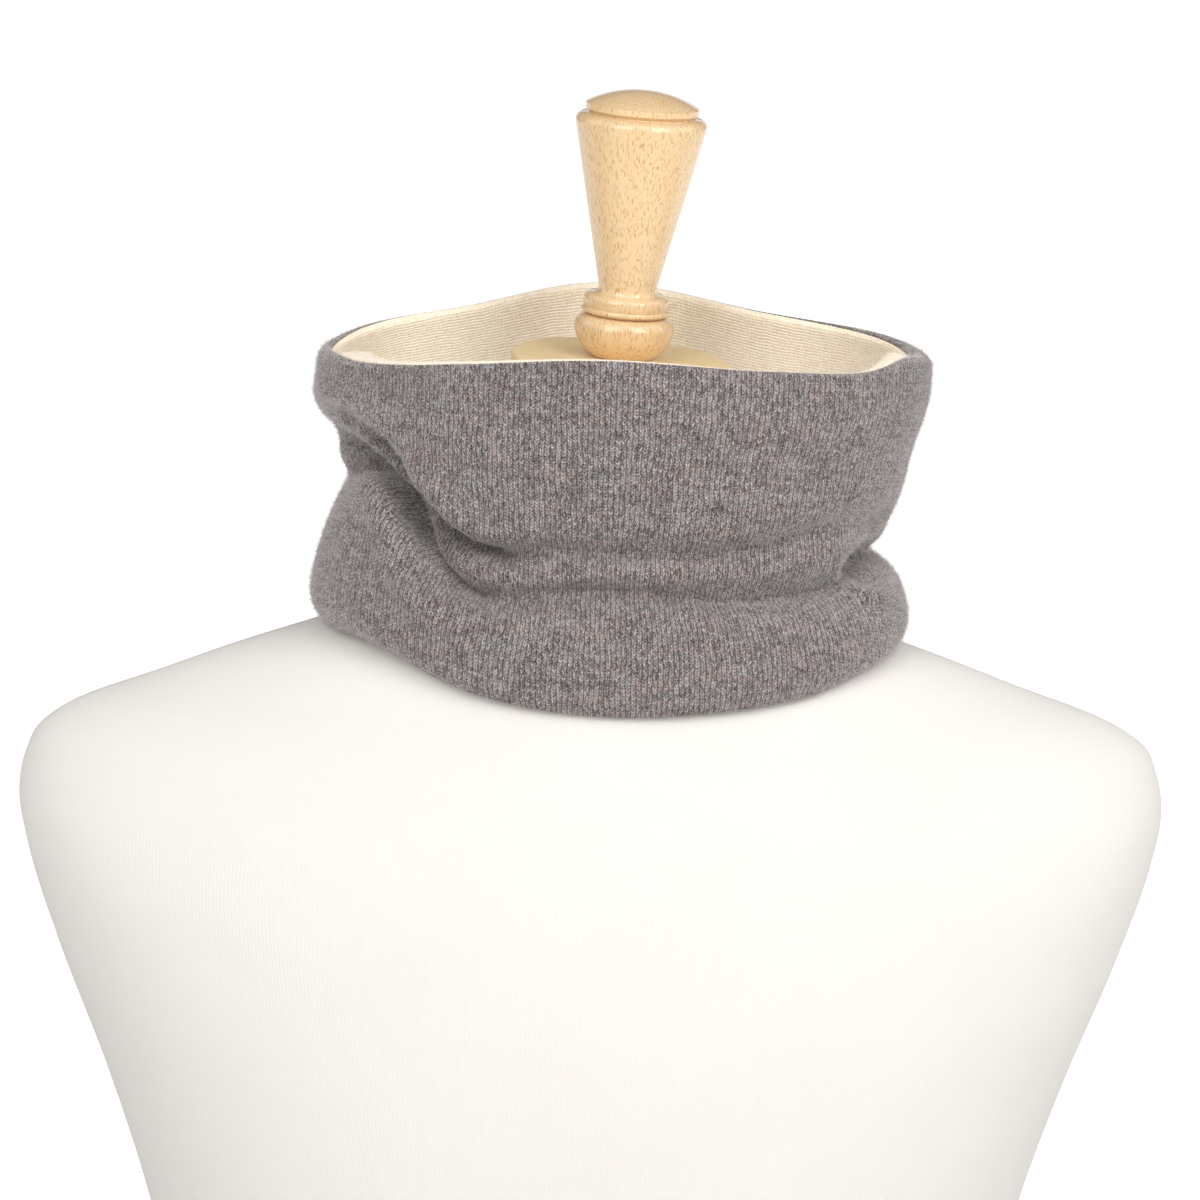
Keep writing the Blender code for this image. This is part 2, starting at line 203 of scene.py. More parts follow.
def soft_box(name, azimuth, elevation, size, power):
    """A flat light that faces the neck warmer, from angles in degrees round it and above it."""
    round_, above = math.radians(azimuth), math.radians(elevation)
    away = Vector((math.sin(round_) * math.cos(above),
                   -math.cos(round_) * math.cos(above),
                   math.sin(above)))
    light = bpy.data.lights.new(name, "AREA")
    light.shape = "RECTANGLE"
    light.size, light.size_y = size
    light.energy = power
    box = bpy.data.objects.new(name, light)
    box.location = Vector(LIT_POINT) + away * LIGHT_DISTANCE
    box.rotation_euler = (-away).to_track_quat("-Z", "Y").to_euler()
    bpy.context.scene.collection.objects.link(box)


floor = white_floor()

sky = bpy.data.worlds.new("even_white")
bpy.context.scene.world = sky
sky.use_nodes = True
sky.node_tree.nodes["Background"].inputs["Color"].default_value = (1.0, 1.0, 1.0, 1.0)
sky.node_tree.nodes["Background"].inputs["Strength"].default_value = 0.18

soft_box("front_right", 39.0, 30.0, (1.5, 1.9), 46.0)
soft_box("front_left", -29.0, 30.0, (1.5, 1.9), 39.0)
soft_box("above", 5.0, 60.0, (3.0, 1.9), 22.0)
soft_box("side_right", 96.0, 28.0, (1.5, 1.8), 12.0)
soft_box("side_left", -96.0, 28.0, (1.5, 1.8), 8.0)
soft_box("behind", 180.0, 9.0, (2.4, 0.5), 3.0)

view = bpy.context.scene.view_settings
view.view_transform = "Standard"
view.look = "None"
view.exposure = 0.0
view.gamma = 1.0

# %% [markdown]
# ## The worn tube, from a small table
#
# A worn tube could be simulated, but a simulation would not fall into the folds of this one. A
# maker would rather describe it by rings: the rim, the flat front panel, the soft roll, the crease
# and the full lower roll down to the hem. Each ring has a reach to the front, right, back and
# left, a height at sixteen angles, and how far it is drawn in there. These are the sizes that the
# part's solids have, so the knit lies on them everywhere but in the finer folds added below.

# %% Sizes of the tube, in millimetres
NECK_TOP = 560.0            # from the ground up to the top of the wooden neck disc
WALL = 1.4                  # thickness of one knitted layer
LAYER_PITCH = 2.3           # from the middle of the outer to the middle of the lining
SEAM_GAP = 0.02             # between the two knits at the rim seam
HEM_CLEARANCE = 0.5
TUBE_X = 1.2                # the tube's middle, to the right of the form's

Ring = namedtuple("Ring", "name down front right back left corner")
RINGS = (
    Ring("rim",      0.00, 57.0, 129.8, 60.5, 111.6, 1.35),
    Ring("band",     0.08, 58.5, 129.0, 61.5, 112.8, 1.30),
    Ring("panel",    0.22, 59.5, 123.0, 61.5, 112.0, 1.15),
    Ring("ridge",    0.36, 60.0, 118.0, 62.0, 109.0, 1.05),
    Ring("valley",   0.44, 60.0, 115.5, 62.5, 106.0, 1.00),
    Ring("roll",     0.51, 60.5, 112.8, 63.0, 104.5, 1.00),
    Ring("crease",   0.57, 61.5, 111.3, 64.0, 104.0, 1.00),
    Ring("lip",      0.63, 64.0, 114.2, 65.5, 105.5, 1.00),
    Ring("shoulder", 0.72, 68.0, 118.8, 67.0, 108.0, 0.95),
    Ring("bulge",    0.84, 70.0, 122.8, 68.0, 113.3, 0.92),
    Ring("turn",     0.95, 70.0, 122.6, 68.5, 112.6, 0.93),
    Ring("hem",      1.00, 68.8, 120.5, 68.0, 109.5, 0.97),
)

# Columns of the next tables: degrees round the tube from the front, toward the right.
COLUMNS = (0, 30, 60, 75, 90, 120, 150, 180, 210, 240, 255, 270, 285, 300, 315, 330)

# Height of each ring over the neck disc.
HEIGHTS = {
    "rim":      (8, 3.0, -0.8, 0.6, 2.4, 7, 10.5, 19.5, 10.5, 5.9, 3.0, 0.8, 0.4, 0.6, 1.9, 4.4),
    "band":     (-10, -12, -13, -12, -11, -8, -4, 2, -5, -7, -9, -11, -12, -12, -12, -11),
    "panel":    (-36, -36, -34, -34, -34, -28, -26, -24, -24, -20, -19, -19, -19, -20, -26, -34),
    "ridge":    (-57, -57, -51, -52, -54, -48, -48, -48, -43, -31, -27, -25, -25, -29, -42, -56),
    "valley":   (-67, -66, -60, -61, -63, -59, -58, -60, -54, -42, -37, -33, -31, -37, -52, -68),
    "roll":     (-75, -75, -71, -69, -70, -66, -67, -69, -61, -49, -45, -42, -38, -43, -61, -78),
    "crease":   (-83, -86, -83, -78, -76, -73, -75, -77, -67, -55, -52, -50, -46, -49, -68, -85),
    "lip":      (-89, -91, -87, -82, -81, -79, -81, -84, -72, -61, -59, -56, -50, -47, -67, -88),
    "shoulder": (-97, -98, -94, -90, -87, -86, -89, -92, -83, -75, -73, -70, -65, -62, -76, -94),
    "bulge":    (-112, -111, -107, -103, -98, -97, -100, -103,
                 -98, -92, -90, -90, -88, -88, -96, -106),
    "turn":     (-124, -122, -115, -110, -105, -104, -108, -110,
                 -106, -101, -99, -101, -102, -102, -108, -117),
    "hem":      (-129, -127, -120, -115, -110, -109, -113, -115,
                 -111, -106, -105, -106, -107, -107, -112, -121),
}

# How far each ring is drawn in from its reach.
INSETS = {
    "band":     (0, 0, 0, 0, 0, 0, 0.5, 0, 0.5, 0, 0, 0, 0, 0.5, 0, 0),
    "panel":    (0, 0, 0, 0, 0, 1, 1, 0, 1, 1, 1, 0.5, 0, 0.5, 0.5, 0),
    "ridge":    (0, 0, 0, 0, 0, 2, 1, 0, 1, 1.5, 2, 1.5, 1, 1, 0, 0.5),
    "valley":   (3.5, 3.5, 3.5, 5, 1, 6, 5, 4, 5, 4, 3, 3, 9, 13, 12, 8),
    "roll":     (0, 0.5, 0.5, 5, 1.5, 8, 3, 2, 6, 6, 4, 2.5, 13, 21, 18, 7),
    "crease":   (5, 5, 7, 13, 5, 12, 8, 7, 10, 11, 8, 5, 12, 20, 17, 9),
    "lip":      (1, 1.5, 2.5, 4, 1.5, 4, 2, 2, 3, 5, 5, 3.5, 5, 5, 3, 1.5),
}

# The outer's soft turn over the rim: its radius, and how far round it the seam lies.
RIM_ROLL = (1.7, 1.7, 2.0, 2.8, 3.9, 2.6, 1.9, 1.7, 1.7, 2.0, 2.3, 2.4, 2.2, 2.2, 2.0, 1.8)
RIM_SEAM = (60, 80, 100, 132, 148, 142, 105, 60, 60, 112, 128, 134, 102, 40, 35, 40)
ROLL_FADE = 0.20            # share of the way down at which the layers lie together again
print("rings:", [ring.name for ring in RINGS])

# %% [markdown]
# A smooth curve through the rows of a table does the rest. The same cubic is used round the tube
# and down it, so a few numbers give a surface with no corners. It works on whole arrays, because
# the knit needs some thirty thousand points.

# %% Smooth curves through table rows
def smooth(knots, values, at):
    """Smooth curve through values at the knots, for an array of places along it."""
    knots = np.asarray(knots, float)
    values = np.asarray(values, float)
    at = np.asarray(at, float)
    slopes = np.gradient(values, knots, axis=0)
    step = np.clip(np.searchsorted(knots, at, side="right") - 1, 0, len(knots) - 2)
    length = knots[step + 1] - knots[step]
    share = (at - knots[step]) / length
    for _ in range(values.ndim - 1):
        length = length[..., None]
        share = share[..., None]
    s2 = share * share
    s3 = s2 * share
    return ((2 * s3 - 3 * s2 + 1) * values[step] + (s3 - 2 * s2 + share) * slopes[step] * length
            + (3 * s2 - 2 * s3) * values[step + 1] + (s3 - s2) * slopes[step + 1] * length)


def around(values, degrees):
    """A table row's values at angles round the tube, on a closed smooth curve."""
    knots = [c - 360 for c in COLUMNS[-4:]] + list(COLUMNS) + [c + 360 for c in COLUMNS[:4]]
    looped = list(values[-4:]) + list(values) + list(values[:4])
    return smooth(knots, looped, np.asarray(degrees, float) % 360.0)


def plan_outward(ring, angles):
    """Level directions out of the tube, from its plan at a ring."""
    wide = np.where(np.sin(angles) > 0, ring.right, ring.left)
    deep = np.where(np.cos(angles) > 0, ring.front, ring.back)
    out = np.stack((np.sin(angles) / wide, -np.cos(angles) / deep, 0 * angles), axis=-1)
    return out / np.linalg.norm(out, axis=-1, keepdims=True)


print("rim height at 10 degrees:", around(HEIGHTS["rim"], 10.0).round(2), "mm")

# %% [markdown]
# ## The form's sections
#
# The hem rests on the form's shoulders, so the form has to be known before the tube is. It is a
# stack of rounded sections: a round neck that leans a little, sloping shoulders, a flat chest
# that narrows down to the base. A superellipse between round and square gives each section.

# %% Sections of the form, in millimetres
Section = namedtuple("Section", "height half front back square shift")
SECTIONS = (
    Section(-6.3,   42.0,  42.0,  42.0, 2.00, 8.4),
    Section(-40.0,  44.5,  44.5,  44.5, 2.00, 6.8),
    Section(-70.0,  48.0,  48.0,  48.5, 2.00, 5.0),
    Section(-86.0,  57.0,  51.5,  53.0, 2.00, 3.6),
    Section(-96.0,  73.0,  54.5,  56.5, 1.90, 2.0),
    Section(-107.0, 104.0, 58.0,  60.0, 1.72, -0.4),
    Section(-120.0, 143.0, 62.3,  65.0, 1.60, -1.6),
    Section(-132.0, 175.0, 66.8,  70.0, 1.58, -1.4),
    Section(-144.0, 207.0, 72.0,  76.0, 1.62, -0.8),
    Section(-153.0, 221.0, 76.5,  80.5, 1.70, 0.0),
    Section(-166.0, 228.0, 83.0,  87.0, 1.82, 0.0),
    Section(-182.0, 230.5, 90.5,  94.0, 1.95, 0.0),
    Section(-200.0, 227.5, 97.5,  101.0, 2.05, 0.0),
    Section(-240.0, 215.0, 107.0, 109.5, 2.15, 0.0),
    Section(-290.0, 196.0, 112.5, 113.0, 2.20, 0.0),
    Section(-340.0, 179.8, 113.0, 111.0, 2.25, 0.0),
    Section(-430.0, 161.0, 107.0, 103.0, 2.30, 0.0),
    Section(-520.0, 154.0, 101.0, 99.0, 2.30, 0.0),
    Section(-560.0, 156.0, 102.0, 101.0, 2.30, 0.0),
)
NECK_LEAN = 3.5             # degrees that the neck's cut end, the disc and the finial lean
LEAN_ENDS = -96.0           # below this height the neck doesn't lean
SHOULDER_RANGE = (-200.0, -80.0)    # heights between which the shoulder is looked for
HALVINGS = 30
section_rows = sorted(SECTIONS, key=lambda row: row.height)
section_knots = [row.height for row in section_rows]


def sections_at(heights):
    """Half width, front, back, squareness and shift of the form at an array of heights."""
    values = smooth(section_knots, [row[1:] for row in section_rows], heights)
    return np.moveaxis(values, -1, 0)


def form_height(x, y):
    """Height over the disc of the form's shoulder under each point, found by halving."""
    low = np.full_like(x, SHOULDER_RANGE[0])
    high = np.full_like(x, SHOULDER_RANGE[1])
    for _ in range(HALVINGS):
        middle = 0.5 * (low + high)
        half, front, back, square, shift = sections_at(middle)
        reach = np.where(y < 0, front, back)
        inside = np.abs((x - shift) / half) ** square + np.abs(y / reach) ** square < 1.0
        low = np.where(inside, middle, low)
        high = np.where(inside, high, middle)
    return middle


print("form is", 2 * max(row.half for row in SECTIONS), "mm wide")

# %% [markdown]
# ## The base surface of the tube
#
# Each ring gives a closed line of points. The lines are joined down the tube by the smooth curve,
# one row of points for each course of the mesh.

# %% Ring lines and the base surface
def ring_line(ring, degrees):
    """Points of the middle of the outer layer along a ring."""
    angles = np.radians(degrees)
    wide = np.where(np.sin(angles) > 0, ring.right, ring.left)
    deep = np.where(np.cos(angles) > 0, ring.front, ring.back)
    out = plan_outward(ring, angles)
    inset = around(INSETS[ring.name], degrees) if ring.name in INSETS else 0.0 * angles
    along = np.cos(angles)
    x = wide * np.sin(angles) - out[:, 0] * inset
    y = -deep * np.copysign(np.abs(along) ** ring.corner, along) - out[:, 1] * inset
    height = around(HEIGHTS[ring.name], degrees)
    if ring.name == "hem":
        reach_in = LAYER_PITCH + 0.5 * WALL
        rest = form_height(TUBE_X + x - out[:, 0] * reach_in, y - out[:, 1] * reach_in)
        height = np.maximum(height, rest + HEM_CLEARANCE)
    return np.stack((x + TUBE_X, y, NECK_TOP + height), axis=-1)


def base_surface(degrees, shares):
    """Rows of points from rim to hem, before the folds and the turned rim."""
    lines = np.array([ring_line(ring, degrees) for ring in RINGS])
    return smooth([ring.down for ring in RINGS], lines, shares)


def outward_normals(grid):
    """Unit normals of rows of points that are closed round each row."""
    along = np.gradient(grid, axis=0)
    across = np.roll(grid, -1, axis=1) - np.roll(grid, 1, axis=1)
    normals = np.cross(along, across)
    return normals / np.linalg.norm(normals, axis=2, keepdims=True)


AROUND = 340                # points round the tube
ROWS = 94                   # rows from rim to hem
degrees = 180.0 + np.arange(AROUND) * 360.0 / AROUND    # the knit's own join is at the back
shares = np.linspace(0.0, 1.0, ROWS)
base = base_surface(degrees, shares)
print("worn height:", np.ptp(base[:, :, 2]).round(1), "mm")

# %% [markdown]
# ## Soft folds
#
# The rings give the large rolls. The finer folds run across them: the deep trough at the left,
# the pocket at the right corner, the shallow waves of the panel. Each is a path on the tube, from
# angle and height, with a width and a depth. A ridge rises along the cloth's normal. A valley goes
# level into the tube, because along the normal it would cross the roll above it. The push dies
# away at both ends of its path, as a fold in a real knit does.

# %% Folds laid on the tube
# depth: how far out (or, below zero, in) at the middle; wide: half width; path: (degrees, height).
Fold = namedtuple("Fold", "name depth wide path")
FOLDS = (
    Fold("left trough", -13.0, 5.6, (
        (-60, -24), (-53, -31), (-47, -40), (-42, -49), (-38, -57), (-35, -62))),
    Fold("trough floor", -3.5, 6.0, ((-60, -40), (-53, -46), (-47, -54), (-43, -62))),
    Fold("panel edge", 4.2, 4.2, (
        (-76, -8), (-62, -14), (-53, -21), (-46, -30), (-40, -39), (-34, -48), (-27, -59), (-19, -62))),
    Fold("second valley", -8.0, 3.4, ((-38, -57), (-35, -61), (-29, -67), (-23, -70), (-14, -71))),
    Fold("middle roll", 3.6, 4.4, ((-42, -62), (-38, -69), (-32, -75), (-26, -77), (-18, -77))),
    Fold("lower valley", -3.6, 3.4, ((-46, -66), (-42, -74), (-37, -81), (-31, -86), (-24, -87))),
    Fold("lobe", 3.4, 6.0, (
        (-62, -46), (-56, -52), (-51, -62), (-46, -76), (-40, -87), (-31, -95), (-18, -97))),
    Fold("front crease", -2.2, 2.2, (
        (-24, -85), (-14, -82.5), (-3, -81.5), (10, -83), (26, -87), (46, -87), (58, -86))),
    Fold("upper valley", -3.0, 3.2, (
        (-28, -66), (-12, -66), (0, -68), (14, -69), (28, -67), (42, -62), (56, -54))),
    Fold("right pocket", -6.0, 3.8, ((65, -71), (70, -76), (76, -79), (84, -80))),
    Fold("right brow", 2.2, 3.4, ((54, -68), (57, -79), (65, -88), (78, -91))),
    Fold("faint wave 1", -1.2, 7.0, ((-62, -13), (-46, -9), (-32, -12), (-16, -19))),
    Fold("faint wave 2", 1.1, 8.0, ((-40, -26), (-20, -30), (0, -36), (16, -40))),
    Fold("faint wave 3", -1.3, 9.0, ((14, -24), (30, -30), (48, -32), (60, -28))),
    Fold("back fold 1", -1.8, 5.0, ((120, -46), (140, -52), (160, -56), (185, -57))),
    Fold("back fold 2", -1.4, 6.0, ((165, -30), (190, -34), (215, -30), (235, -24))),
    Fold("back fold 3", 1.2, 7.0, ((130, -90), (155, -96), (180, -99), (205, -94))),
    Fold("back fold 4", -1.6, 5.0, ((205, -66), (222, -60), (240, -52), (256, -47))),
)
PATH_STEPS = 40             # points at which a fold's path is measured from
END_SHARE = 0.25            # share of the path, at each end, over which a fold fades
END_DEPTH = 0.25            # share of its depth that a fold keeps at the very end


def along_path(path, steps):
    """Evenly stepped (angle, height) pairs along a path's corners."""
    path = np.asarray(path, float)
    knots = np.arange(len(path))
    return smooth(knots, path, np.linspace(0, len(path) - 1, steps))


def on_surface(grid, places):
    """Points of the surface at (angle, height) pairs."""
    columns = np.round((places[:, 0] - degrees[0]) % 360.0 / 360.0 * AROUND).astype(int) % AROUND
    heights = grid[:, columns, 2] - NECK_TOP
    rows = np.argmin(np.abs(heights - places[:, 1]), axis=0)
    return grid[rows, columns]


def push_for(fold, grid):
    """How far a fold pushes each point of the surface."""
    line = on_surface(grid, along_path(fold.path, PATH_STEPS))
    away = np.full(grid.shape[:2], 1e9)
    where = np.zeros(grid.shape[:2])
    for i in range(PATH_STEPS):
        reach = np.linalg.norm(grid - line[i], axis=2)
        nearer = reach < away
        away = np.where(nearer, reach, away)
        where = np.where(nearer, i / (PATH_STEPS - 1), where)
    fading = np.clip(np.minimum(where, 1.0 - where) / END_SHARE, 0.0, 1.0)
    fading = END_DEPTH + (1.0 - END_DEPTH) * fading * fading * (3 - 2 * fading)
    return fold.depth * fading * np.exp(-(away / fold.wide) ** 2)


pushes = [push_for(fold, base) for fold in FOLDS]
push_out = sum(np.maximum(push, 0.0) for push in pushes)
push_in = sum(np.minimum(push, 0.0) for push in pushes)
level_out = plan_outward(RINGS[0], np.radians(degrees))
folded = base + outward_normals(base) * push_out[:, :, None] + level_out * push_in[:, :, None]
print("valleys are", -push_in.min().round(1), "mm deep, ridges", push_out.max().round(1), "mm high")

# %% [markdown]
# ## Two layers with a turned rim and a turned hem
#
# The knit is doubled: at the rim the outer turns over and is linked to the lining, in some places
# outside the edge and in others inside it, and at the hem it turns under. Both turns are half
# circles of points added above and below the folded surface.

# %% Turns and corners
RIM_TURN_ROWS = 7
HEM_TURN_ROWS = 6
HEM_SHARE = 0.62            # share of the turn under the hem that the outer covers
HEM_LIFT = 1.0              # how much of the fall the turn under the hem takes up
HEM_LIFT_ROWS = 6
LOOSE_REACH = (3, 4)        # rows and columns within which the lining passes below each fold
LOOSE_PASSES = 4
FORM_GAP = 0.4              # least gap between the lining and the form
CORNER_DEPTH = 0.26         # share of the way down at which a corner's swell has died away
UPWARD = np.array((0.0, 0.0, 1.0)) * np.ones((AROUND, 1))

# At both ends of the opening the lining stands up behind the rim; at the right the rim lifts too.
Corner = namedtuple("Corner", "name degrees wide lift swell rise")
CORNERS = (
    Corner("right", 68.0, 12.0, 3.6, 6.5, 6.5),
    Corner("left", 297.0, 9.0, 0.0, 7.0, 4.5),
)


def half_turn(start, inward, up_or_down, radius, turns):
    """Rows of points on a half circle from start; turns gives each row's degrees."""
    angle = np.radians(turns)
    into = (radius * (1.0 - np.cos(angle)))[:, :, None]
    rise = (radius * np.sin(angle))[:, :, None]
    return start[None] + inward[None] * into + up_or_down[None] * rise


def softened(grid, passes):
    """The rows of points, or of numbers, each drawn toward the mean of their neighbours."""
    for _ in range(passes):
        tall = np.concatenate([grid[:1], grid, grid[-1:]])
        near = tall[:-2] + tall[2:] + np.roll(grid, 1, axis=1) + np.roll(grid, -1, axis=1)
        grid = 0.5 * grid + 0.125 * near
    return grid


def deepest_near(values, rows, columns):
    """Each number replaced by the least one within so many rows and columns."""
    tall = np.pad(values, ((rows, rows), (0, 0)), mode="edge")
    least = np.min([tall[i:i + len(values)] for i in range(2 * rows + 1)], axis=0)
    return np.min([np.roll(least, i, axis=1) for i in range(-columns, columns + 1)], axis=0)


def off_the_form(points, gap):
    """Points moved level away from the form's middle where they lie closer to it than the gap."""
    half, front, back, square, shift = sections_at(points[:, :, 2] - NECK_TOP)
    x, y = points[:, :, 0] - shift, points[:, :, 1]
    reach = np.where(y < 0, front, back) + gap
    inside = (np.abs(x) / (half + gap)) ** square + (np.abs(y) / reach) ** square
    grow = np.maximum(1.0, inside ** (-1.0 / square))
    return np.stack((shift + x * grow, y * grow, points[:, :, 2]), axis=-1)


def corner_weights(corner):
    """How strongly each column of points belongs to a corner."""
    away = (degrees - corner.degrees + 180.0) % 360.0 - 180.0
    return np.exp(-(away / corner.wide) ** 2)


def room_for_turns(grid, lift):
    """The rows moved up or down by the lift, and the hem raised by what its turn takes up."""
    moved = grid.copy()
    moved[:, :, 2] += lift
    moved[-HEM_LIFT_ROWS:, :, 2] += np.linspace(0, HEM_LIFT, HEM_LIFT_ROWS)[:, None]
    return moved


def turned_rim(edge, radii):
    """The outer's rows over the rim down to the seam, and the lining's rows on from there."""
    seams = around(RIM_SEAM, degrees)
    outer_turns = seams * np.linspace(1.0, 0.0, RIM_TURN_ROWS)[:-1, None]
    after = seams + np.degrees(SEAM_GAP / (radii - 0.5 * WALL))
    lining_turns = after + (180.0 - after) * np.linspace(0.0, 1.0, RIM_TURN_ROWS)[:, None]
    return [half_turn(edge, -level_out, UPWARD, radii, turns) for turns in (outer_turns, lining_turns)]


def turned_hem(outer, inward):
    """The outer's rows under the hem."""
    fall = outer[-1] - outer[-2]
    fall /= np.linalg.norm(fall, axis=1, keepdims=True)
    turns = 180.0 * HEM_SHARE * np.linspace(0.0, 1.0, HEM_TURN_ROWS)[1:, None] * np.ones(AROUND)
    return half_turn(outer[-1], inward, fall, np.full(AROUND, 0.5 * LAYER_PITCH), turns)


print("corners of the opening:", [corner.name for corner in CORNERS])

# %% [markdown]
# The lining doesn't follow each fold of the outer. It passes below the deepest point nearby, as a
# loose layer does, and it is kept off the form.

# %% Layers
def two_layers():
    """Rows of points of the middle of the outer and of the lining, from rim to hem."""
    radii = around(RIM_ROLL, degrees)
    fade = np.clip(1.0 - shares[:, None] / ROLL_FADE, 0.0, 1.0)
    lift = (sum(corner.lift * corner_weights(corner) for corner in CORNERS) - radii) * fade
    outer = room_for_turns(folded, lift)

    depth = LAYER_PITCH + np.maximum(0.0, 2.0 * radii - LAYER_PITCH) * fade ** 2
    loose = softened(deepest_near(push_in, *LOOSE_REACH), LOOSE_PASSES)
    under = room_for_turns(base + level_out * loose[:, :, None], lift)
    facing = outward_normals(under) * (1.0 - fade)[:, :, None] + level_out * fade[:, :, None]
    facing /= np.linalg.norm(facing, axis=2, keepdims=True)
    lining = off_the_form(under - facing * depth[:, :, None], 0.5 * WALL + FORM_GAP)

    over, inside = turned_rim(outer[0], radii)
    swell = sum(corner.swell * corner_weights(corner) for corner in CORNERS)[:, None]
    stand = sum(corner.rise * corner_weights(corner) for corner in CORNERS)[:, None]
    along = np.linspace(0.0, 1.0, RIM_TURN_ROWS)[:, None, None]
    inside += along * (UPWARD * stand * (1.0 - 0.5 * along) - level_out * swell)
    below = np.clip(1.0 - shares[:, None, None] / CORNER_DEPTH, 0.0, 1.0)
    lining += below ** 2 * (UPWARD * stand * 0.5 - level_out * swell)
    return (np.concatenate([over, outer, turned_hem(outer, -facing[-1])]),
            np.concatenate([inside, lining[1:]]))


outer_rows, lining_rows = two_layers()
print("outer rows:", len(outer_rows), "lining rows:", len(lining_rows))

# %% [markdown]
# ## From rows of points to a knitted piece
#
# A flat grid is the natural start, because knitting is a grid too: wales run up and courses run
# round. The grid's points are moved onto the surface, the two ends are joined into a tube, and a
# wall is given to it. The UV map keeps each point's place in the flat knit, in real length along
# the cloth, so the stitches keep their size where the surface bends.

# %% Grid to tube
UV_MM = 600.0               # one unit of a knit's UV map, in millimetres


def flat_places(rows):
    """Each point's place in the flat knit, in mm: how far round, and how far down."""
    closed = np.concatenate([rows, rows[:, :1]], axis=1)
    steps = np.linalg.norm(np.diff(closed, axis=1), axis=2)
    tall = slice(len(rows) // 6, len(rows) * 5 // 6)
    even = steps[tall].mean(axis=0)
    round_ = np.concatenate([[0.0], np.cumsum(even)])
    down = np.linalg.norm(np.diff(closed, axis=0), axis=2)
    down = np.concatenate([np.zeros((1, closed.shape[1])), np.cumsum(down, axis=0)])
    down *= down[-1].mean() / down[-1]
    return np.stack((np.broadcast_to(round_, down.shape), down), axis=-1)


def tube_from(name, rows, uv_places):
    """A tube through rows of points, with each loop's place in the flat knit as its UV."""
    count, columns = rows.shape[:2]
    shape = bmesh.new()
    shape.loops.layers.uv.new("flat_knit")
    bmesh.ops.create_grid(shape, x_segments=columns, y_segments=count - 1, size=0.5, calc_uvs=True)
    for vert in shape.verts:
        column = round((vert.co.x + 0.5) * columns) % columns
        row = round((0.5 - vert.co.y) * (count - 1))
        vert.co = Vector(rows[row, column]) * MM
    bmesh.ops.remove_doubles(shape, verts=shape.verts, dist=MERGE)
    mesh = bpy.data.meshes.new(name)
    shape.to_mesh(mesh)
    shape.free()
    uvs = np.empty(len(mesh.loops) * 2)
    mesh.uv_layers["flat_knit"].data.foreach_get("uv", uvs)
    uvs = uvs.reshape(-1, 2)
    column = np.round(uvs[:, 0] * columns).astype(int)
    row = np.round((1.0 - uvs[:, 1]) * (count - 1)).astype(int)
    mesh.uv_layers["flat_knit"].data.foreach_set("uv", (uv_places[row, column] / UV_MM).ravel())
    mesh.shade_smooth()
    piece = bpy.data.objects.new(name, mesh)
    bpy.context.scene.collection.objects.link(piece)
    return piece


def knit_wall(piece):
    """Gives a knit its thickness, half to each side."""
    wall = piece.modifiers.new("knitted_wall", "SOLIDIFY")
    wall.thickness = WALL * MM
    wall.offset = 0.0


outer_flat = flat_places(outer_rows)
lining_flat = flat_places(lining_rows)
outer_knit = tube_from("outer_knit", outer_rows, outer_flat)
lining_knit = tube_from("lining_knit", lining_rows, lining_flat)
knit_wall(outer_knit)
knit_wall(lining_knit)
print("flat sizes in mm:", outer_flat[-1, -1].round(), lining_flat[-1, -1].round())

# %% [markdown]
# ## The yarn
#
# Both knits are stockinette: every stitch shows as a small V, and the Vs stack into wales. The
# outer's yarn is spun from fibres that were dyed in different shades of grey, brown and blue, and
# that is what makes its heather. The shader draws one leg of a V at a time. Its height comes from
# where it is in the stitch, its shade from a random number for each leg and from longer streaks,
# as the same fibres run through several stitches.

# %% Knit material
# wale and course: the stitch's size in mm. slant: how far a leg leans. legs and beads: how deep the
# gaps are across and along it. gap_dark: brightness of the shade painted in the gaps. The rest are
# amounts of pattern.
Knit = namedtuple("Knit", "wale course slant legs beads gap_dark streak patch grain sheen")


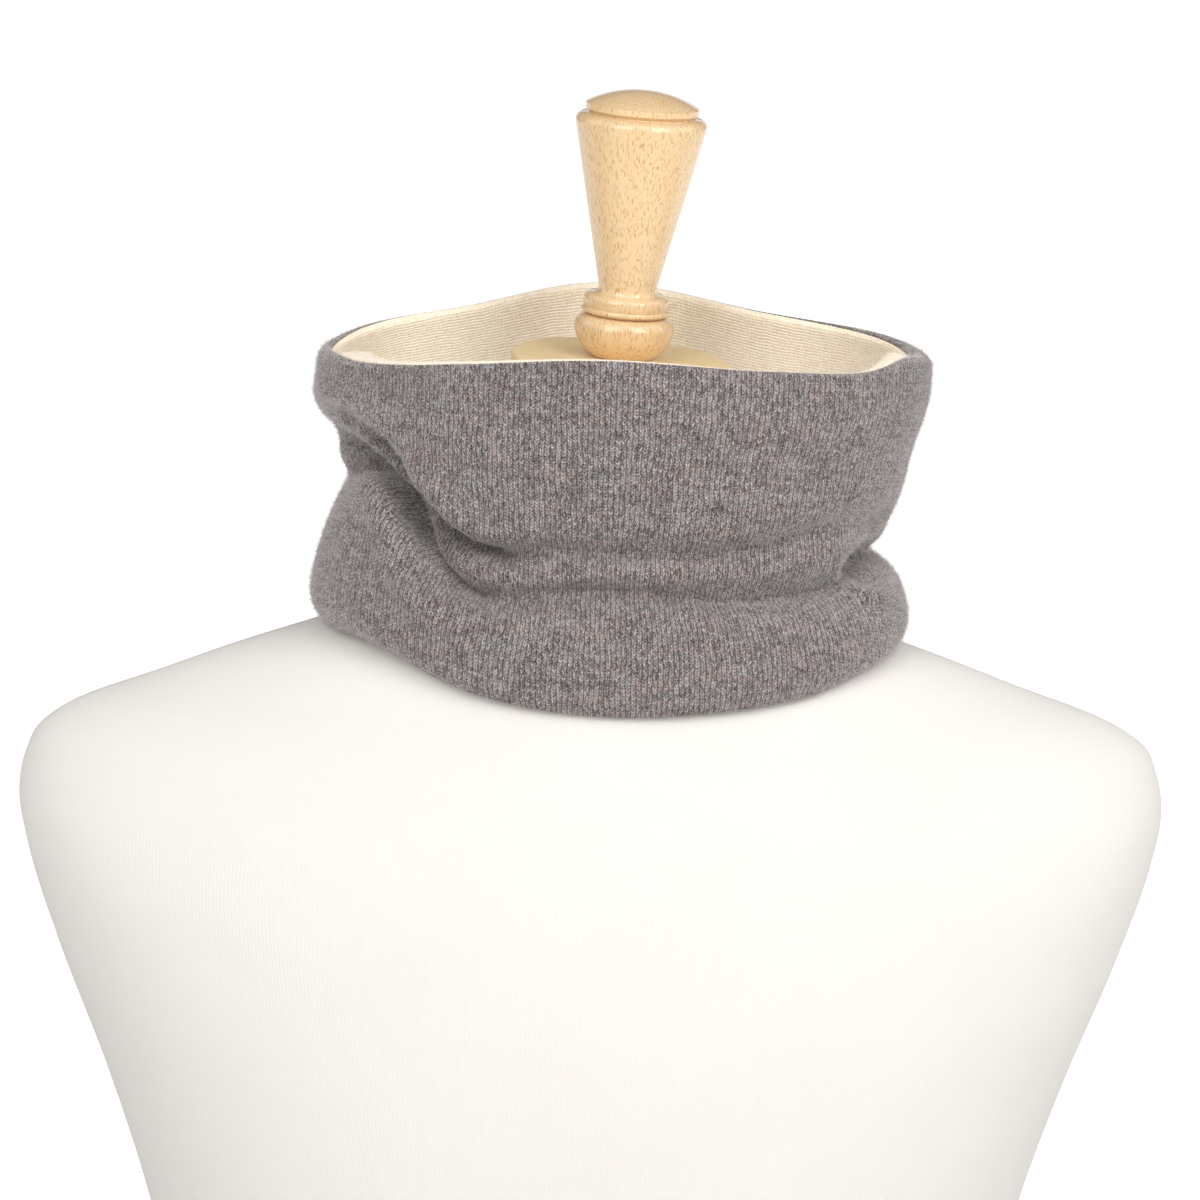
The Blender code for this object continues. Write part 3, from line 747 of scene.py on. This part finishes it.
def knit_material(name, tones, casts, knit):
    """Wool stockinette: matt, with a soft sheen from its fibres."""
    material, shader = new_material(name)
    node = partial(add_node, material)

    def mixture(*weighted):
        """Patterns from 0 to 1, each times its weight, added up round one half."""
        total = 0.5 - 0.5 * sum(weight for _, weight in weighted)
        for pattern, weight in weighted:
            total = node("ShaderNodeMath", (pattern, weight, total), operation="MULTIPLY_ADD")
        return total

    uv = node("ShaderNodeUVMap", uv_map="flat_knit")
    flat = node("ShaderNodeMapping", {"Vector": uv, "Scale": (UV_MM, UV_MM, 1.0)})

    # wales wander a little from straight, by a third of a stitch over a centimetre
    drift = node("ShaderNodeTexNoise", {"Vector": flat, "Scale": 0.09, "Detail": 2.0})
    shift = node("ShaderNodeVectorMath", (drift.outputs["Color"], (0.5, 0.5, 0.5)), operation="SUBTRACT")
    shift = node("ShaderNodeVectorMath", {0: shift, "Scale": 2.2}, operation="SCALE")
    moved = node("ShaderNodeVectorMath", (flat, shift), operation="ADD")
    parts = node("ShaderNodeSeparateXYZ", (moved,))
    wales = node("ShaderNodeMath", (parts.outputs["X"], knit.wale), operation="DIVIDE")
    courses = node("ShaderNodeMath", (parts.outputs["Y"], knit.course), operation="DIVIDE")

    # the height of a leg of a V: a ridge across it, and a bead for each stitch along it
    side = node("ShaderNodeMath", (wales, 0.5), operation="PINGPONG")
    across = node("ShaderNodeMath", (side, 2 * math.pi), operation="MULTIPLY")
    across = node("ShaderNodeMath", (across,), operation="SINE")
    across = node("ShaderNodeMath", (across, 0.8), operation="POWER")
    phase = node("ShaderNodeMath", (side, knit.slant, courses), operation="MULTIPLY_ADD")
    along = node("ShaderNodeMath", (phase,), operation="FRACT")
    along = node("ShaderNodeMath", (along, math.pi), operation="MULTIPLY")
    along = node("ShaderNodeMath", (along,), operation="SINE")
    thick = node("ShaderNodeMath", (across, knit.legs, 1.0 - knit.legs), operation="MULTIPLY_ADD")
    body = node("ShaderNodeMath", (along, knit.beads, 1.0 - knit.beads), operation="MULTIPLY_ADD")
    height = node("ShaderNodeMath", (thick, body), operation="MULTIPLY")
    # the gap beside a wale is deeper than the one between the two legs of its Vs, and its painted shade
    # darker
    from_gap = node("ShaderNodeMath", (side, 3.4), operation="MULTIPLY")
    from_gap = node("ShaderNodeMath", (from_gap, 1.0, 0.2), operation="SMOOTH_MIN")

    # one throw of the dice for each leg of each stitch
    leg = node("ShaderNodeMath", (wales, 2.0), operation="MULTIPLY")
    leg = node("ShaderNodeMath", (leg,), operation="FLOOR")
    stitch = node("ShaderNodeMath", (phase,), operation="FLOOR")
    cell = node("ShaderNodeCombineXYZ", (leg, stitch))
    chance = node("ShaderNodeTexWhiteNoise", {"Vector": cell}, noise_dimensions="2D")
    dice = node("ShaderNodeSeparateColor", (chance.outputs["Color"],))

    # yarn runs round the tube, so its darker lengths show as short level streaks, 7 mm by 1.4 mm
    long_way = node("ShaderNodeVectorMath", (moved, (0.28 / knit.wale, 0.9 / knit.course, 1.0)),
                    operation="MULTIPLY")
    streaks = node("ShaderNodeTexNoise", {"Vector": long_way, "Scale": 1.0, "Detail": 3.0, "Roughness": 0.7})
    # and some parts of the knit are darker than others, in patches of about 12 mm by 4 mm
    broad = node("ShaderNodeVectorMath", (flat, (0.08, 0.24, 1.0)), operation="MULTIPLY")
    patches = node("ShaderNodeTexNoise", {"Vector": broad, "Scale": 1.0, "Detail": 4.0, "Roughness": 0.6})
    # single fibres are finer than a pixel here, so they are drawn as coarse as 0.5 mm
    fibres = node("ShaderNodeTexNoise", {"Vector": flat, "Scale": 1.75, "Detail": 1.0})
    shade = mixture((dice.outputs["Red"], 0.45), (streaks, knit.streak), (patches, knit.patch),
                    (fibres, knit.grain))
    ramp = node("ShaderNodeValToRGB", {"Fac": shade})
    ramp.color_ramp.interpolation = "EASE"
    first, last = ramp.color_ramp.elements
    first.position, last.position = tones[0][0], tones[-1][0]
    first.color, last.color = linear(tones[0][1]), linear(tones[-1][1])
    for position, code in tones[1:-1]:
        ramp.color_ramp.elements.new(position).color = linear(code)

    # fibres of two casts are mixed in the yarn: each stitch leans to one of them
    blend = node("ShaderNodeTexNoise", {"Vector": long_way, "Scale": 0.6, "Detail": 2.0})
    lean = mixture((dice.outputs["Green"], 0.8), (blend, 2.2))
    cast = node("ShaderNodeMix", {"Factor": lean, "A": linear(casts[0]), "B": linear(casts[1])},
                data_type="RGBA")
    dyed = node("ShaderNodeMix", {"Factor": 1.0, "A": ramp, "B": cast.outputs["Result"]},
                data_type="RGBA", blend_type="MULTIPLY")

    # painted shade: colour darkened between the wales and between the legs of a V, where yarn lies in shade
    lit = node("ShaderNodeMapRange", {"Value": height, "To Min": knit.gap_dark, "To Max": 1.0})
    deep = node("ShaderNodeMapRange", {
        "Value": from_gap, "To Min": 1.0 - knit.legs * (1.0 - knit.gap_dark), "To Max": 1.0})
    painted_gap_shade = node("ShaderNodeMath", (lit, deep), operation="MULTIPLY")
    shaded = node("ShaderNodeMix", {"Factor": 1.0, "A": dyed.outputs["Result"], "B": painted_gap_shade},
                  data_type="RGBA", blend_type="MULTIPLY")
    bump = node("ShaderNodeBump", {"Height": height, "Strength": 0.55, "Distance": 0.45 * MM})
    set_sockets(material, shader, {
        "Base Color": shaded.outputs["Result"], "Normal": bump, "Roughness": 0.92,
        "Specular IOR Level": 0.2, "Sheen Weight": knit.sheen, "Sheen Roughness": 0.45,
        "Sheen Tint": linear("#e9e4e2")})
    return material


print("values for each knit:", Knit._fields)

# %% [markdown]
# The outer's shades run from a dark brownish grey to off-white, and its two casts are bluish and
# reddish. The lining keeps to close creams, and it shows the reverse of the knit, whose loops lie
# in level rows of small bumps.

# %% The two knits
TAUPE_TONES = ((0.0, "#484241"), (0.30, "#867d7b"), (0.52, "#aea5a2"), (0.76, "#cfc6c2"), (1.0, "#eae4e0"))
TAUPE_CASTS = ("#e3e8ee", "#efe4e0")        # blue-grey and red-brown fibres
CREAM_TONES = ((0.0, "#ecdcc2"), (0.4, "#faf0de"), (0.7, "#fff7ea"), (1.0, "#fffbf4"))
CREAM_CASTS = ("#fffcf6", "#fffaf2")
taupe = knit_material("wool_stockinette_taupe_heather", TAUPE_TONES, TAUPE_CASTS, Knit(
    wale=2.0, course=1.29, slant=-1.9, legs=0.85, beads=0.95, gap_dark=0.42,
    streak=0.42, patch=0.45, grain=1.5, sheen=0.6))
cream = knit_material("wool_reverse_stockinette_cream", CREAM_TONES, CREAM_CASTS, Knit(
    wale=1.44, course=1.24, slant=0.4, legs=0.3, beads=0.8, gap_dark=0.91,
    streak=0.6, patch=0.3, grain=0.9, sheen=0.4))
outer_knit.data.materials.append(taupe)
lining_knit.data.materials.append(cream)
print("knit materials:", taupe.name, cream.name)

# %% [markdown]
# ## Loose fibres
#
# Brushed wool has a haze of loose fibres that softens every outline, and no bump on the surface can
# show it. A hair system would do it, but it doesn't export. So one fibre is modelled, a thin
# needle with three sides, and copied to thousands of places on the knit as one joined mesh.

# %% Loose fibres
FIBRE_WIDTH = 0.14          # millimetres; real ones are 0.03 mm, too fine to show in a render
FIBRE_LENGTHS = (0.7, 4.5)  # millimetres, shortest and longest
LENGTH_LOG = 0.5            # natural logarithm of the usual length in mm
LENGTH_SPREAD = 0.5
ROOT_LEVEL = 0.45           # where a fibre starts: share of the wall, from its middle outwards
UPRIGHT = 0.95              # how strongly a fibre stands out from the cloth
STRAY = 0.5                 # and how strongly it strays from that
RUBBED_ALL = 0.5            # fibres everywhere, against
RUBBED_ENDS = 2.5           # those added at the ends of the opening
GREY_COUNT = 46000
CREAM_COUNT = 5000
CREAM_ROWS = 26             # rows of the lining that show, from the rim down


def one_fibre():
    """A needle with three sides: its points along +Z, and its faces."""
    shape = bmesh.new()
    bmesh.ops.create_cone(shape, cap_ends=True, cap_tris=False, segments=3,
                          radius1=0.5, radius2=0.0, depth=1.0)
    bmesh.ops.translate(shape, verts=shape.verts, vec=(0.0, 0.0, 0.5))
    bmesh.ops.remove_doubles(shape, verts=shape.verts, dist=0.001)
    bmesh.ops.triangulate(shape, faces=shape.faces)
    bmesh.ops.recalc_face_normals(shape, faces=shape.faces)
    points = np.array([vert.co for vert in shape.verts])
    faces = np.array([[vert.index for vert in face.verts] for face in shape.faces])
    shape.free()
    return points, faces


def fibres_on(name, rows, count, row_range, seed):
    """Fibres that stand at a slant on rows of points, in one mesh."""
    dice = np.random.default_rng(seed)
    points, faces = one_fibre()
    normals = outward_normals(rows)
    row = dice.integers(row_range[0], row_range[1], count)
    # the ends of the opening are rubbed most, so more fibres stand there
    rubbed = RUBBED_ALL + RUBBED_ENDS * np.abs(np.sin(np.radians(degrees))) ** 4
    column = dice.choice(AROUND, count, p=rubbed / rubbed.sum())
    beside = (column + 1) % AROUND
    share = dice.random((count, 1))
    root = rows[row, column] * (1.0 - share) + rows[row, beside] * share
    out = normals[row, column]
    root += (rows[row + 1, column] - rows[row, column]) * dice.random((count, 1)) + out * ROOT_LEVEL * WALL
    first = out * UPRIGHT + dice.normal(size=(count, 3)) * STRAY
    first /= np.linalg.norm(first, axis=1, keepdims=True)
    length = np.clip(dice.lognormal(LENGTH_LOG, LENGTH_SPREAD, count), *FIBRE_LENGTHS)[:, None]
    side = np.cross(first, dice.normal(size=(count, 3)))
    side /= np.linalg.norm(side, axis=1, keepdims=True)
    other = np.cross(first, side)
    rise = points[None, :, 2, None] * length[:, None]
    width = FIBRE_WIDTH * points[None, :, :2, None]
    where = (root[:, None] + first[:, None] * rise
             + side[:, None] * width[:, :, 0] + other[:, None] * width[:, :, 1])
    index = faces[None] + np.arange(count)[:, None, None] * len(points)
    mesh = bpy.data.meshes.new(name)
    mesh.from_pydata((where.reshape(-1, 3) * MM).tolist(), [], index.reshape(-1, 3).tolist())
    piece = bpy.data.objects.new(name, mesh)
    bpy.context.scene.collection.objects.link(piece)
    return piece


def fibre_material(name, colour):
    """Bare wool fibre: nearly matt, and one colour, since each is too thin to show more."""
    material, shader = new_material(name)
    set_sockets(material, shader, {"Base Color": linear(colour), "Roughness": 0.7})
    return material


grey_fibres = fibres_on("loose_fibres_grey", outer_rows, GREY_COUNT, (0, len(outer_rows) - 3), 7)
cream_fibres = fibres_on("loose_fibres_cream", lining_rows[::-1], CREAM_COUNT,
                         (len(lining_rows) - CREAM_ROWS, len(lining_rows) - 2), 8)
grey_fibres.data.materials.append(fibre_material("wool_fibre_grey", "#cfcac8"))
cream_fibres.data.materials.append(fibre_material("wool_fibre_cream", "#fbf0de"))
print("fibre faces:", len(grey_fibres.data.polygons), len(cream_fibres.data.polygons))

# %% [markdown]
# ## The form
#
# The display form is a padded shape with a white cotton jersey pulled over it. It is a grid round
# and down, like the knit, closed at the neck and at the base.

# %% Form
FORM_AROUND = 160
FORM_ROWS = 150
FORM_SHARP = math.radians(50.0)     # edges sharper than this aren't shaded smooth


def form_rows():
    """Rows of points of the form from the neck's cut end down to its base."""
    heights = np.interp(np.linspace(0, len(SECTIONS) - 1, FORM_ROWS), range(len(SECTIONS)),
                        [row.height for row in SECTIONS])
    half, front, back, square, shift = sections_at(heights)[:, :, None]
    angles = math.pi + np.arange(FORM_AROUND) * 2 * math.pi / FORM_AROUND
    power = 2.0 / square
    x = half * np.copysign(np.abs(np.sin(angles)) ** power, np.sin(angles)) + shift
    reach = np.where(np.cos(angles) > 0, front, back)
    y = -reach * np.copysign(np.abs(np.cos(angles)) ** power, np.cos(angles))
    lean = math.tan(math.radians(NECK_LEAN)) * np.maximum(
        0.0, (heights - LEAN_ENDS) / (SECTIONS[0].height - LEAN_ENDS))[:, None]
    z = NECK_TOP + heights[:, None] - lean * (x - shift)
    return np.stack((x, y, z), axis=-1)


def close_ends(piece):
    """Fills the two open ends of a tube."""
    shape = bmesh.new()
    shape.from_mesh(piece.data)
    rims = [edge for edge in shape.edges if edge.is_boundary]
    bmesh.ops.holes_fill(shape, edges=rims)
    bmesh.ops.recalc_face_normals(shape, faces=shape.faces)
    shape.to_mesh(piece.data)
    shape.free()


form_points = form_rows()
form = tube_from("form_jersey", form_points, flat_places(form_points))
close_ends(form)
form.data.set_sharp_from_angle(angle=FORM_SHARP)
print("form faces:", len(form.data.polygons))

# %% [markdown]
# Cotton jersey is a much finer knit than the wool. From here only its ribs show, as a faint bump,
# and it is matt. A slow change between two whites keeps it from looking like plastic.

# %% Jersey material
RIB_PITCH = 1.3             # millimetres from rib to rib


def jersey_material():
    """White cotton jersey: matt, with fine ribs and a faint uneven whiteness."""
    material, shader = new_material("cotton_jersey_white")
    node = partial(add_node, material)
    uv = node("ShaderNodeUVMap", uv_map="flat_knit")
    flat = node("ShaderNodeMapping", {"Vector": uv, "Scale": (UV_MM, UV_MM, 1.0)})
    parts = node("ShaderNodeSeparateXYZ", (flat,))
    ribs = node("ShaderNodeMath", (parts.outputs["X"], 2 * math.pi / RIB_PITCH), operation="MULTIPLY")
    ribs = node("ShaderNodeMath", (ribs,), operation="SINE")
    bump = node("ShaderNodeBump", {"Height": ribs, "Strength": 0.12, "Distance": 0.2 * MM})
    # the whiteness changes over about 50 mm
    cloud = node("ShaderNodeTexNoise", {"Vector": flat, "Scale": 0.02, "Detail": 4.0})
    white = node("ShaderNodeMix", {"Factor": cloud, "A": linear("#ded9d4"), "B": linear("#e2ded9")},
                 data_type="RGBA")
    set_sockets(material, shader, {
        "Base Color": white.outputs["Result"], "Normal": bump, "Roughness": 0.9,
        "Specular IOR Level": 0.2})
    return material


form.data.materials.append(jersey_material())
print("form material:", form.data.materials[0].name)

# %% [markdown]
# ## Disc and finial
#
# Both are turned on a lathe, so a profile is spun round the axis, as the turner's chisel cuts it.
# The finial's profile has a shallow dome, a thin lip, a long cone, a stepped collar and a ball.

# %% Turned wood
DISC_RADIUS = 43.5
DISC_THICKNESS = 6.0
DISC_EDGE = 1.6
SEAT_GAP = 0.3
DOME_TOP = 106.0
DOME_RIM = (100.4, 21.8)
CAP_LIP = ((100.1, 22.3), (98.0, 22.4), (97.4, 21.7), (96.8, 20.9), (96.2, 21.4))
CONE_TOP = ((95.8, 24.2), (94.8, 25.4), (92.8, 25.9))
CONE_FOOT = ((28.0, 11.5), (26.4, 11.7), (25.7, 12.1))
COLLAR = ((25.4, 15.0), (25.0, 16.0), (24.2, 16.7), (23.2, 16.9), (20.6, 16.9), (20.0, 16.7),
          (19.8, 17.3), (19.2, 17.6), (18.4, 17.5), (17.9, 16.9))
BALL_MIDDLE = 12.5
BALL_RADIUS = 19.7
BALL_SHOULDER = 4.6
BALL_DROP = 15.5
LATHE_STEPS = 96
TURNED_SHARP = math.radians(40.0)   # edges sharper than this aren't shaded smooth
NECK_SHIFT = 8.8            # the neck's middle at its top, to the right of the form's
neck_axis = (Matrix.Translation(Vector((NECK_SHIFT, 0.0, NECK_TOP)) * MM)
             @ Matrix.Rotation(math.radians(NECK_LEAN), 4, "Y"))


def arc(centre, across, rise, start, end, count):
    """Heights and radii along part of an ellipse; 90 degrees is its top."""
    angles = np.radians(np.linspace(start, end, count))
    return [(centre[0] + rise * math.sin(a), centre[1] + across * math.cos(a)) for a in angles]


def dome(steps):
    """The shallow cap on top: an arc from the axis down to the dome's rim."""
    rise = DOME_TOP - DOME_RIM[0]
    radius = (DOME_RIM[1] ** 2 + rise ** 2) / (2.0 * rise)
    outs = [DOME_RIM[1] * i / steps for i in range(steps + 1)]
    return [(DOME_TOP - radius + math.sqrt(radius ** 2 - out ** 2), out) for out in outs]


def spin(name, profile):
    """A piece turned round the neck's axis from (height, radius) pairs."""
    shape = bmesh.new()
    corners = [shape.verts.new((radius * MM, 0.0, height * MM)) for height, radius in profile]
    edges = [shape.edges.new(pair) for pair in zip(corners, corners[1:])]
    bmesh.ops.spin(shape, geom=corners + edges, cent=(0, 0, 0), axis=(0, 0, 1), angle=2 * math.pi,
                   steps=LATHE_STEPS, use_merge=True)
    bmesh.ops.remove_doubles(shape, verts=shape.verts, dist=MERGE)
    bmesh.ops.recalc_face_normals(shape, faces=shape.faces)
    bmesh.ops.transform(shape, matrix=neck_axis, verts=shape.verts)
    mesh = bpy.data.meshes.new(name)
    shape.to_mesh(mesh)
    shape.free()
    mesh.shade_smooth()
    mesh.set_sharp_from_angle(angle=TURNED_SHARP)
    piece = bpy.data.objects.new(name, mesh)
    bpy.context.scene.collection.objects.link(piece)
    return piece


shoulder = arc((BALL_MIDDLE, BALL_RADIUS - BALL_SHOULDER), BALL_SHOULDER, BALL_SHOULDER, 88, 8, 7)
foot_angle = -math.degrees(math.asin((BALL_MIDDLE - SEAT_GAP) / BALL_DROP))
belly = arc((BALL_MIDDLE, 0.0), BALL_RADIUS, BALL_DROP, 0, foot_angle, 18)
turned_middle = list(CAP_LIP + CONE_TOP + CONE_FOOT + COLLAR)
finial = spin("turned_finial", dome(12) + turned_middle + shoulder + belly + [(SEAT_GAP, 0.0)])
top_edge = arc((-DISC_EDGE, DISC_RADIUS - DISC_EDGE), DISC_EDGE, DISC_EDGE, 90, 0, 6)
low_edge = arc((DISC_EDGE - DISC_THICKNESS, DISC_RADIUS - DISC_EDGE), DISC_EDGE, DISC_EDGE, 0, -90, 6)
disc = spin("neck_disc_wood", [(0.0, 0.0)] + top_edge + low_edge + [(-DISC_THICKNESS, 0.0)])
print("finial faces:", len(finial.data.polygons), "disc faces:", len(disc.data.polygons))

# %% [markdown]
# The finial is rubberwood, turned and lacquered: a clear glossy coat over a blond wood with many
# short dark pores. The disc is bare birch, paler and without the coat, its grain laid level.

# %% Wood materials
def wood_material(name, light, dark, fleck, fleck_amount, grain, coat):
    """Blond wood: soft bands, and short pores that run along the grain."""
    material, shader = new_material(name)
    node = partial(add_node, material)
    where = node("ShaderNodeTexCoord")
    place = node("ShaderNodeMapping", {"Vector": where.outputs["Object"], "Rotation": grain})
    # bands of growth are about 11 mm wide and 70 mm long
    bands = node("ShaderNodeVectorMath", (place, (90.0, 90.0, 14.0)), operation="MULTIPLY")
    bands = node("ShaderNodeTexNoise", {"Vector": bands, "Scale": 1.0, "Detail": 4.0, "Roughness": 0.55})
    body = node("ShaderNodeMix", {"Factor": bands, "A": linear(light), "B": linear(dark)},
                data_type="RGBA")
    # pores are finer than a pixel here, so they are drawn about 0.6 mm wide and 3.6 mm long
    pores = node("ShaderNodeVectorMath", (place, (1600.0, 1600.0, 280.0)), operation="MULTIPLY")
    pores = node("ShaderNodeTexNoise", {"Vector": pores, "Scale": 1.0, "Detail": 1.0})
    sparse = node("ShaderNodeMapRange", {
        "Value": pores, "From Min": 0.53, "From Max": 0.69, "To Max": fleck_amount})
    wood = node("ShaderNodeMix", {"Factor": sparse, "A": body.outputs["Result"], "B": linear(fleck)},
                data_type="RGBA")
    set_sockets(material, shader, {
        "Base Color": wood.outputs["Result"], "Roughness": 0.45,
        "Coat Weight": coat, "Coat Roughness": 0.07})
    return material


finial.data.materials.append(wood_material(
    "rubberwood_lacquered", "#e9cfa6", "#dfba86", "#b9824a", 0.62, (0.0, 0.0, 0.0), 0.8))
disc.data.materials.append(wood_material(
    "birch_disc", "#edd6a8", "#e6ca97", "#cda872", 0.3, (0.0, math.radians(90.0), 0.0), 0.0))
print("wood materials:", finial.data.materials[0].name, disc.data.materials[0].name)

# %% [markdown]
# ## What stands for what
#
# Each new piece hides the plain solid it stands for, and rides on the part's one body. Both knits
# are sheets of cloth.

# %% Declarations
REPLACED = (
    (outer_knit, "neck_warmer_outer", "wool_knit_taupe_heather"),
    (lining_knit, "neck_warmer_lining", "wool_knit_cream"),
    (form, "form_torso", "jersey_off_white"),
    (disc, "neck_disc", "birch_disc"),
    (finial, "finial", "rubberwood_lacquered"),
)
for piece, node, slot in REPLACED:
    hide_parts(node)
    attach(piece, "root")
for piece, slot in ((grey_fibres, "wool_knit_taupe_heather"), (cream_fibres, "wool_knit_cream")):
    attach(piece, "root")
print("solids replaced:", [node for _, node, _ in REPLACED])
